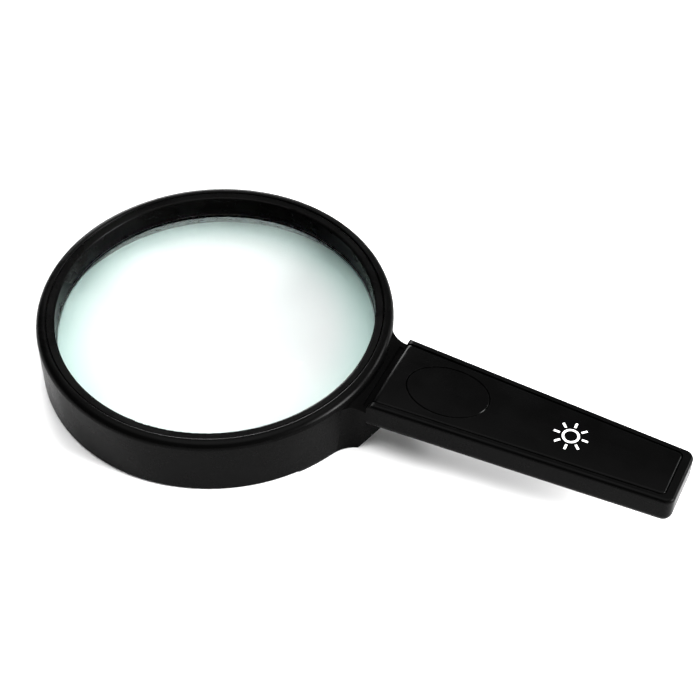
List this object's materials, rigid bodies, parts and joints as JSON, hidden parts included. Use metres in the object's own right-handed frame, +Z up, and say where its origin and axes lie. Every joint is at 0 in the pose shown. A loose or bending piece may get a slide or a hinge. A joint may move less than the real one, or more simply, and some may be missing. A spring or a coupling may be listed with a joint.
{
  "type": "hand magnifier",
  "caption": "Large round hand magnifier with a deep black ring, a flat tapered handle with an inset cover and an oval thumb button",
  "frame": {"origin": "Middle of the overall box in X and Y, on the plane that the ring rests on", "axes": "+Z up out of the lens, +X along the handle from the lens to the handle's end, outside symmetrical about Y = 0"},
  "size_m": [0.2004, 0.107, 0.02],
  "materials": {
    "black_plastic": "fine moulded satin black ABS",
    "button_plastic": "satin black ABS, slightly smoother",
    "lens_glass": "polished crown glass with a faint green tint",
    "clear_plastic": "clear moulded window",
    "lamp_epoxy": "clear to milky epoxy dome",
    "tinned_wire": "tinned pins",
    "spring_steel": "drawn spring wire",
    "board_laminate": "green solder mask on laminate",
    "switch_plastic": "moulded switch housing",
    "plunger_plastic": "white acetal plunger",
    "resistor_ceramic": "lacquered barrel with tinned wires",
    "cell_steel": "plain nickelled can",
    "contact_metal": "nickelled phosphor bronze strip",
    "red_insulation": "red wire insulation",
    "black_insulation": "black wire insulation",
    "screw_steel": "zinc-plated self-tapping screws"
  },
  "bodies": {
    "frame": {"frame_shell": "black_plastic", "magnifier_lens": "lens_glass", "lens_retaining_ring": "black_plastic", "handle_cover": "black_plastic", "button_spring": "spring_steel", "circuit_board": "board_laminate", "switch_body": "switch_plastic", "series_resistor": "resistor_ceramic", "led_bulb": "lamp_epoxy", "led_leads": "tinned_wire", "led_holder": "black_plastic", "light_window": "clear_plastic", "coin_cell_lower": "cell_steel", "coin_cell_upper": "cell_steel", "battery_contact_negative": "contact_metal", "battery_contact_positive": "contact_metal", "wire_positive": "red_insulation", "wire_negative": "black_insulation", "cover_screws": "screw_steel", "board_screws": "screw_steel"},
    "button": {"oval_button": "button_plastic", "switch_plunger": "plunger_plastic"},
    "door": {"battery_door": "black_plastic"}
  },
  "joints": [
    {"name": "button_press", "type": "slide", "parent": "frame", "child": "button", "axis": [0, 0, -1], "range_m": [0, 0.001], "stiffness_N_per_m": 1200, "springref_m": -0.001, "deforming": ["button_spring"]},
    {"name": "battery_door_swing", "type": "hinge", "parent": "frame", "child": "door", "pos_m": [0.06285, 0, 0.0105], "axis": [0, -1, 0], "range_deg": [0, 60]}
  ]
}
